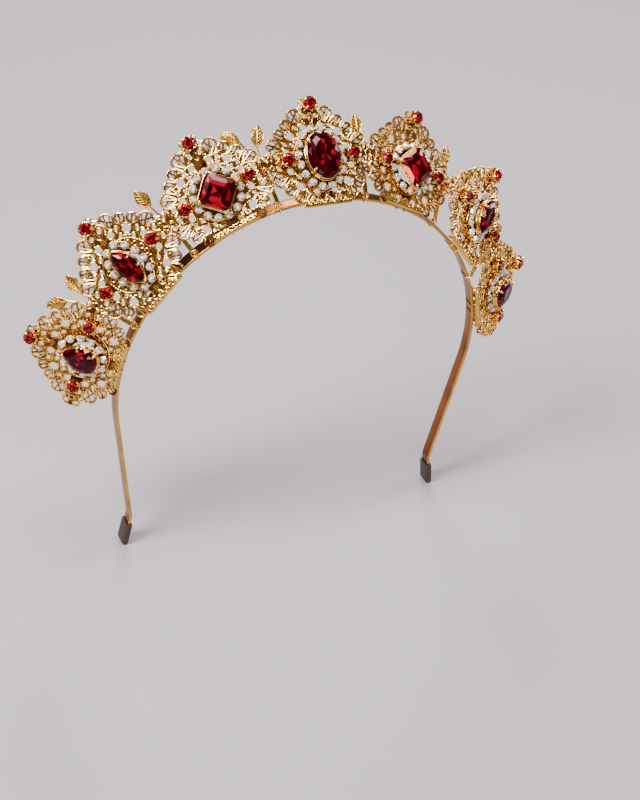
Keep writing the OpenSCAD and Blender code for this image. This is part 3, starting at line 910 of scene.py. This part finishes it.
def halo_axes(kind):
    """Half axes of the ellipse that the cups stand on, in millimetres."""
    length, width = STONE_SIZES[kind]
    if kind == "square":
        return SQUARE_HALO_R, SQUARE_HALO_R
    tuck = 0 if kind == "oval" else HALO_TUCK
    return width / 2 + HALO_MARGIN, length / 2 + HALO_MARGIN - tuck


def halo_places(kind):
    """Middles of the cups, at equal steps round the ellipse, with the tangent's angle."""
    rx, ry = halo_axes(kind)
    steps = 720
    line = [(rx * math.cos(2 * math.pi * k / steps), ry * math.sin(2 * math.pi * k / steps))
            for k in range(steps + 1)]
    total = [0.0]
    for a, b in zip(line, line[1:]):
        total.append(total[-1] + math.dist(a, b))
    fit = int(total[-1] / (sizes().cup_d / MM + CUP_SPACE))
    count = fit - fit % 2
    places, k = [], 0
    for n in range(count):
        while total[k] < (n + 0.5) * total[-1] / count:
            k += 1
        x, y = line[k]
        places.append((x, y, math.atan2(y / ry, x / rx)))
    return places


CLAW_ANGLES = [math.radians(45 + 90 * k) for k in range(4)]


def hollow(sides, foot_r, rim_r, height, thickness, depth):
    """A cup that widens upwards from its foot at the origin, with a pocket sunk into it."""
    bpy.ops.mesh.primitive_cone_add(vertices=sides, radius1=foot_r, radius2=rim_r,
                                    depth=height, location=(0, 0, height / 2))
    body = frozen(bpy.context.object)
    edit(body, lambda f: f.normal.z > UPWARD)
    bpy.ops.mesh.inset(thickness=thickness * MM)
    bpy.ops.mesh.extrude_region_move(TRANSFORM_OT_translate={"value": (0, 0, -depth)})
    done()
    return body


def cup():
    """One small cup with its pocket and four claw tips, its foot at the origin."""
    s = sizes()
    height = s.cup_h + s.halo_t * 0.5
    parts = [hollow(12, s.cup_d * CUP_FOOT, s.cup_d * CUP_RIM, height, CUP_WALL, s.cup_h * 0.6)]
    r = s.cup_d * CUP_CLAWS
    for a in CLAW_ANGLES:
        place = r * math.cos(a), r * math.sin(a), height + CLAW_TIP_UP * MM
        bpy.ops.mesh.primitive_ico_sphere_add(subdivisions=1, radius=CLAW_TIP * MM,
                                              location=place, scale=(1, 1, 1.5))
        parts.append(bpy.context.object)
    frozen(*parts)
    return painted(smooth(joined(parts)), material("setting"))


def oval_base(kind):
    """The halo's base: a flat oval ring under the cups, open behind the large stone."""
    s = sizes()
    rx, ry = (r + BASE_MARGIN for r in halo_axes(kind))
    bpy.ops.mesh.primitive_circle_add(vertices=64, radius=1, fill_type="NGON")
    base = bpy.context.object
    base.scale = (rx * MM, ry * MM, 1)
    edit(frozen(base))
    bpy.ops.mesh.inset(thickness=BASE_WIDTH * MM)
    bpy.ops.mesh.delete(type="FACE")
    done()
    applied(base, "SOLIDIFY", thickness=s.halo_t, offset=1)
    applied(base, "BEVEL", width=BASE_EDGE * MM, segments=2, limit_method="ANGLE",
            angle_limit=math.radians(40))
    return painted(smooth(base), material("setting"))


# How much wider than the CAD's a clear stone is cut, and its turn from one cup to the next
CLEAR_GROWTH = 1.14
CLEAR_TURN = 0.7


class CROWN_OT_halos(bpy.types.Operator):
    """Rings of small cups round the large stones, with their clear stones"""

    bl_idname = "crown.halos"
    bl_label = "Halos and clear stones"

    def execute(self, context):
        s = sizes()
        foot_z = s.plate_t + s.halo_t * 0.5
        girdle_z = s.plate_t + s.halo_t + s.cup_h - GIRDLE_T * MM
        one_cup = cup()
        d = s.clear_d / MM * CLEAR_GROWTH
        gem = painted(round_gem(d, 1.05, 0.6, 8, 5, 0.4), material("clear"))
        for kind in KINDS:
            base = oval_base(kind)
            cups, gems = [base], []
            base.data.transform(Matrix.Translation((0, 0, s.plate_t)))
            for n, (x, y, a) in enumerate(halo_places(kind)):
                foot = Matrix.Translation((x * MM, y * MM, foot_z))
                cups.append(copy_of(one_cup, foot @ Matrix.Rotation(a, 4, "Z")))
                girdle = Matrix.Translation((x * MM, y * MM, girdle_z))
                gems.append(copy_of(gem, girdle @ Matrix.Rotation(a + CLEAR_TURN * n, 4, "Z")))
            halo, stones = joined(cups), joined(gems)
            for i in plates_of(kind):
                name = name_of(i)
                finished(copy_of(halo, plate_matrix(i)), f"cup_ring_{name}", "setting_gold",
                         f"halo_{name}")
                finished(copy_of(stones, plate_matrix(i)), f"clear_gems_{name}", "clear_glass",
                         f"halo_stones_{name}")
            removed(halo, stones)
        removed(one_cup, gem)
        return {"FINISHED"}


# ------------------------------------------------------------------ settings

# Thickness of a setting's pedestal and of the basket on it, and the claws' gap to the stone, in
# millimetres
WALL = 0.6
RIM_WALL = 0.4
GAP = 0.05
# The pedestal's share of the stone's outline, how far it reaches up into the basket, and the
# height of the basket's foot
PEDESTAL_SHARE = 0.7
PEDESTAL_LAP = 0.4
BASKET_Z = 3.5
# Radii of the wire round the basket's foot and of the claws, and the claws' reach over the stone
RAIL_R = 0.34
CLAW_R = 0.55
CLAW_GRIP = 0.9
# Directions of the claws round each kind of stone, in degrees from +X
CLAWS = {"oval": (45, 135, 225, 315), "square": (0, 90, 180, 270),
         "navette": (32, 148, 212, 328), "pear": (90, 20, 160, 230, 310)}


def grown(points, grow):
    """The outline moved outwards by a distance, along each corner's outward direction."""
    out = []
    for k, (x, y) in enumerate(points):
        (ax, ay), (bx, by) = points[k - 1], points[(k + 1) % len(points)]
        tx, ty = bx - ax, by - ay
        n = math.hypot(tx, ty)
        out.append((x + grow * ty / n, y - grow * tx / n))
    return out


def wall(points, low, high, thickness):
    """A closed wall of even thickness with round edges, along an outline."""
    data = bpy.data.curves.new("wall", "CURVE")
    data.dimensions = "3D"
    data.bevel_depth = thickness / 2 * MM
    data.bevel_resolution = 1
    data.extrude = (high - low - thickness) / 2 * MM
    data.twist_mode = "Z_UP"
    spline = data.splines.new("POLY")
    spline.points.add(len(points) - 1)
    spline.use_cyclic_u = True
    for p, (x, y) in zip(spline.points, points):
        p.co = (x * MM, y * MM, (low + high) / 2 * MM, 1)
    return mesh_of(data)


def nearest(points, degrees):
    """The outline's point in that direction from the middle, and its outward direction."""
    a = math.radians(degrees)
    k = max(range(len(points)), key=lambda j: math.cos(a - math.atan2(points[j][1], points[j][0])))
    (ax, ay), (bx, by) = points[k - 1], points[(k + 1) % len(points)]
    return points[k], math.atan2(-(bx - ax), by - ay)


def claw_line(point, direction, slope, low, girdle, grip):
    """A claw that rises outside the wall and bends in over the stone's crown."""
    steps = [(GAP + WALL * 0.8, low, 0.75), (GAP + WALL * 0.95, girdle - 0.6, 0.9),
             (GAP + WALL * 0.55, girdle + GIRDLE_T + 0.3, 1.0),
             (-grip * 0.4, girdle + GIRDLE_T + grip * 0.4 * slope + 0.42, 1.05),
             (-grip, girdle + GIRDLE_T + grip * slope + 0.2, 0.9)]
    return [(point[0] + d * math.cos(direction), point[1] + d * math.sin(direction), z, share)
            for d, z, share in steps], False


class CROWN_OT_settings(bpy.types.Operator):
    """Claw settings of the large stones"""

    bl_idname = "crown.settings"
    bl_label = "Claw settings"

    def execute(self, context):
        s = sizes()
        girdle = stone_height() / MM
        foot = (s.plate_t + s.halo_t) / MM
        for kind in KINDS:
            edge = outline(kind, 48)
            rail = [(x, y, BASKET_Z + 0.25) for x, y in grown(edge, 0.1)[::2]]
            slope = CROWN_H / (min(STONE_SIZES[kind]) / 2 * (1 - TABLE_SHARE))
            claws = [claw_line(*nearest(edge, degrees), slope, BASKET_Z, girdle, CLAW_GRIP)
                     for degrees in CLAWS[kind]]
            setting = joined([
                wall(grown(edge, -0.12), BASKET_Z, girdle - 0.02, RIM_WALL),
                wall(shares(edge, PEDESTAL_SHARE), foot, BASKET_Z + PEDESTAL_LAP, WALL),
                curve_object([(rail, True)], RAIL_R, 2),
                curve_object(claws, CLAW_R, 5)])
            painted(smooth(setting, 50), material("setting"))
            for i in plates_of(kind):
                finished(copy_of(setting, plate_matrix(i)), f"claw_basket_{name_of(i)}",
                         "setting_gold", f"claw_setting_{name_of(i)}")
            removed(setting)
        return {"FINISHED"}


ACCENT_CUP_H = 2.8
ACCENT_CUP_R = 2.6
ACCENT_FOOT = 0.82
ACCENT_WALL = 0.2
ACCENT_EDGE = 0.08
ACCENT_CLAW_R = 0.42
# Points of an accent's claw: distance out from the cup's rim, height above it, share of the radius
ACCENT_CLAW = [(0, 0.6 - ACCENT_CUP_H, 0.8), (0.05, -0.3, 1.0), (-0.25, 0.45, 1.05),
               (-0.85, 0.72, 0.85)]


def accent_cup():
    """One small round setting with four claws, its foot at the origin."""
    r = ACCENT_CUP_R * MM
    height = ACCENT_CUP_H * MM
    body = hollow(32, r * ACCENT_FOOT, r, height, ACCENT_WALL, height * 0.7)
    applied(body, "BEVEL", width=ACCENT_EDGE * MM, segments=2, limit_method="ANGLE",
            angle_limit=math.radians(40))
    claws = []
    for a in CLAW_ANGLES:
        line = [((ACCENT_CUP_R + out) * math.cos(a), (ACCENT_CUP_R + out) * math.sin(a),
                 ACCENT_CUP_H + up, share) for out, up, share in ACCENT_CLAW]
        claws.append((line, False))
    rail = ring(0, 0, ACCENT_CUP_R - 0.1, ACCENT_CUP_H - 0.05, 0.55, 30)
    parts = [body, curve_object(claws, ACCENT_CLAW_R, 4), curve_object([rail], ACCENT_CLAW_R, 3)]
    return painted(smooth(joined(parts)), material("setting"))


class CROWN_OT_accents(bpy.types.Operator):
    """Small round red stones and their settings"""

    bl_idname = "crown.accents"
    bl_label = "Accent stones"

    def execute(self, context):
        s = sizes()
        one_cup = accent_cup()
        gem = painted(round_gem(s.accent_d / MM, 1.35, 1.6, 10, 21, 0.5), material("ruby"))
        spots = [(-s.accent_side, 0), (s.accent_side, 0), (0, s.accent_top)]
        for i in PLATES:
            cups, gems = [], []
            for n, (x, y) in enumerate(spots):
                foot = plate_matrix(i) @ Matrix.Translation((x, y, s.plate_t))
                girdle = Matrix.Translation((0, 0, (ACCENT_CUP_H - GIRDLE_T) * MM))
                cups.append(copy_of(one_cup, foot))
                turn = Matrix.Rotation(0.9 * n + 0.5 * i, 4, "Z")
                gems.append(copy_of(gem, foot @ girdle @ turn))
            name = name_of(i)
            finished(joined(cups), f"accent_cups_{name}", "setting_gold",
                     f"accent_settings_{name}")
            finished(joined(gems), f"accent_gems_{name}", "ruby_glass", f"accent_stones_{name}")
        removed(one_cup, gem)
        return {"FINISHED"}


# ------------------------------------------------------------------ sprigs

# A leaf's length, its width and the radius of its lines in millimetres, and its side veins' places
# as shares of its length
LEAF_L = 8.0
LEAF_W = 4.6
VEIN_R = 0.3
VEINS = (0.2, 0.36, 0.52, 0.68)
# Leaves of a sprig: sideways place of the base, height above a single leaf's base, and turn
LEAVES = {1: [(-1.7, 0, 5)], 2: [(-5.3, 3, 47), (0.4, 0, -20)]}
RING_R = 1.5
STEM_R = 0.5
STEM_STEPS = 8
SPRIG_T = 1.0


def leaf():
    """A pointed leaf along +Y from the origin, with a domed blade, a rim, a midrib and veins."""
    half_w, half_l = LEAF_W / 2, LEAF_L / 2
    bpy.ops.mesh.primitive_uv_sphere_add(segments=24, ring_count=12, radius=1)
    blade = bpy.context.object
    for v in blade.data.vertices:
        x, y, z = v.co
        taper = 1 - 0.35 * abs(y) ** 1.5
        v.co = (x * half_w * 0.93 * taper * MM, (half_l + y * half_l) * MM, (0.45 + 0.3 * z) * MM)

    def side(t, share=1.0):
        return half_w * share * math.sin(math.pi * t) ** 0.85

    ts = [k / 8 for k in range(9)]
    rim = [(side(t), LEAF_L * t, 0.55, 1.0) for t in ts[1:-1]]
    rim += [(0, LEAF_L, 0.55, 0.8)] + [(-x, y, z, r) for x, y, z, r in reversed(rim)]
    rim = [(0, 0, 0.5, 0.9)] + rim
    midrib = [(0, 0.1, 0.5, 1.1), (0, LEAF_L * 0.5, 0.85, 0.95), (0, LEAF_L * 0.97, 0.6, 0.5)]
    lines = [(rim, True), (midrib, False)]
    for t in VEINS:
        for s in (1, -1):
            y = LEAF_L * t
            lines.append(([(0, y, 0.8, 0.55), (s * side(t, 0.5), y + 0.9, 0.78, 0.5),
                           (s * side(t + 0.12, 0.95), y + 1.9, 0.6, 0.35)], False))
    return joined([blade, curve_object(lines, VEIN_R, 4)])


def sprig(leaves):
    """One or two leaves on tapering stems that end in a ring."""
    s = sizes()
    reach = s.sprig_len / MM - LEAF_L
    foot = RING_R * 0.9
    parts = [curve_object([ring(0, 0, RING_R * 0.74, SPRIG_T / 2)], 0.42, 4)]
    for sway, above, turn in LEAVES[leaves]:
        height = reach + above
        line = []
        for k in range(STEM_STEPS + 1):
            t = k / STEM_STEPS
            line.append((sway * t * t, foot + (height - foot + 0.4) * t, SPRIG_T / 2,
                         2.0 - 1.25 * math.sin(math.pi / 2 * t)))
        parts.append(curve_object([(line, False)], STEM_R, 3))
        one = leaf()
        one.data.transform(Matrix.Translation((sway * MM, height * MM, 0))
                           @ Matrix.Rotation(math.radians(turn), 4, "Z"))
        parts.append(one)
    for part in parts[:-1]:
        for v in part.data.vertices:
            v.co.z = min(max(v.co.z, 0.0), SPRIG_T * MM)
    return painted(smooth(joined(parts), 50), material("leaf"))


class CROWN_OT_sprigs(bpy.types.Operator):
    """Cast leaf sprigs between the plates"""

    bl_idname = "crown.sprigs"
    bl_label = "Leaf sprigs"

    def execute(self, context):
        kinds = {n: sprig(n) for n in (1, 2)}
        for g in GAPS:
            piece = copy_of(kinds[SPRIG_LEAVES[g]], sprig_matrix(g))
            finished(piece, f"leaf_spray_{g + 1}", "leaf_gold", f"leaf_sprig_{g + 1}")
        removed(*kinds.values())
        return {"FINISHED"}


# ------------------------------------------------------------------ stage

FLOOR_SIZE = 12
FLOOR_GAP = 0.5 * MM
# Each light's name, azimuth and elevation in degrees, distance, size, power and colour
LIGHTS = [
    ("key", -80, 50, 0.9, 0.30, 17, (1.0, 0.97, 0.93)),
    ("fill", 100, 18, 1.1, 0.35, 8, (0.97, 0.98, 1.0)),
    ("front", -20, 12, 1.1, 0.25, 4, (1.0, 0.96, 0.90)),
    ("top", 0, 88, 0.9, 0.30, 8, (1.0, 0.98, 0.96)),
    ("rear", 160, 40, 1.1, 0.35, 12, (1.0, 0.95, 0.88)),
]
LIGHTS_AIM = Vector((0, 0, 0.06))
WORLD_COLOUR = (0.62, 0.60, 0.63, 1)
WORLD_STRENGTH = 0.17
# The camera: its direction and roll in degrees, its distance, and its lens in millimetres
CAMERA_AZIMUTH = -28.03
CAMERA_ELEVATION = 35.61
CAMERA_ROLL = 7.57
CAMERA_DISTANCE = 0.680
SENSOR = 36.0
LENS = 78.18
SHIFT = (0.0237, -0.041)


def towards(azimuth, elevation):
    """The direction at those angles, in degrees from straight in front."""
    a, e = math.radians(azimuth), math.radians(elevation)
    return Vector((math.sin(a) * math.cos(e), -math.cos(a) * math.cos(e), math.sin(e)))


def area_light(name, azimuth, elevation, distance, size, power, colour):
    """A soft square light that faces the crown from that direction."""
    away = towards(azimuth, elevation)
    bpy.ops.object.light_add(type="AREA", location=LIGHTS_AIM + away * distance)
    lamp = bpy.context.object
    lamp.name = name
    lamp.data.size = size
    lamp.data.energy = power
    lamp.data.color = colour
    lamp.rotation_euler = (-away).to_track_quat("-Z", "Y").to_euler()


class CROWN_OT_stage(bpy.types.Operator):
    """Pale floor, soft lights and the camera"""

    bl_idname = "crown.stage"
    bl_label = "Stage"

    def execute(self, context):
        m, nodes, links, shader = new_material("pale_floor")
        grain = object_noise(nodes, links, 3.0, 2.0)
        tint = tuple(colours().floor)
        tone = ramp(nodes, links, grain.outputs["Fac"],
                    [(NOISE_LOW, scaled(tint, 0.97)), (NOISE_HIGH, tint)])
        links.new(tone.outputs["Color"], shader.inputs["Base Color"])
        shader.inputs["Roughness"].default_value = 0.85
        floor_z = CAD_BOX[0].z - FLOOR_GAP
        bpy.ops.mesh.primitive_plane_add(size=FLOOR_SIZE, location=(0, 0, floor_z))
        floor = painted(context.object, m)
        floor.name = "floor"

        for light in LIGHTS:
            area_light(*light)

        world = bpy.data.worlds.new("studio")
        context.scene.world = world
        world.use_nodes = True
        background = world.node_tree.nodes["Background"]
        background.inputs["Color"].default_value = WORLD_COLOUR
        background.inputs["Strength"].default_value = WORLD_STRENGTH

        back = towards(CAMERA_AZIMUTH, CAMERA_ELEVATION)
        right = towards(CAMERA_AZIMUTH + 90, 0)
        up = back.cross(right)
        r = math.radians(CAMERA_ROLL)
        across = math.cos(r) * right + math.sin(r) * up
        above = -math.sin(r) * right + math.cos(r) * up
        turned = Matrix((across, above, back)).transposed().to_4x4()
        bpy.ops.object.camera_add()
        camera = context.object
        camera.name = "camera"
        camera.matrix_world = Matrix.Translation(back * CAMERA_DISTANCE) @ turned
        camera.data.sensor_fit = "AUTO"
        camera.data.sensor_width = SENSOR
        camera.data.lens = LENS
        camera.data.shift_x, camera.data.shift_y = SHIFT
        camera.data.clip_start = 0.01
        context.scene.camera = camera
        return {"FINISHED"}


# ------------------------------------------------------------------ panel

OPERATORS = (CROWN_OT_band, CROWN_OT_caps, CROWN_OT_ties, CROWN_OT_plates, CROWN_OT_halos,
             CROWN_OT_settings, CROWN_OT_stones, CROWN_OT_accents, CROWN_OT_sprigs, CROWN_OT_stage)


class CROWN_PT_panel(bpy.types.Panel):
    """Lists the crown's pieces"""

    bl_idname = "CROWN_PT_panel"
    bl_label = "Crown"
    bl_space_type = "VIEW_3D"
    bl_region_type = "UI"
    bl_category = "Crown"

    def draw(self, context):
        for group in (context.scene.crown_sizes, context.scene.crown_colours):
            column = self.layout.column()
            for key in group.__annotations__:
                column.prop(group, key)
        for operator in OPERATORS:
            self.layout.operator(operator.bl_idname)


CLASSES = (CrownSizes, CrownColours, *OPERATORS, CROWN_PT_panel)


def register():
    for c in CLASSES:
        bpy.utils.register_class(c)
    bpy.types.Scene.crown_sizes = bpy.props.PointerProperty(type=CrownSizes)
    bpy.types.Scene.crown_colours = bpy.props.PointerProperty(type=CrownColours)


def unregister():
    del bpy.types.Scene.crown_sizes
    del bpy.types.Scene.crown_colours
    for c in reversed(CLASSES):
        bpy.utils.unregister_class(c)


def main():
    register()
    for operator in OPERATORS:
        group, name = operator.bl_idname.split(".")
        getattr(getattr(bpy.ops, group), name)()


if __name__ == "__main__":
    main()
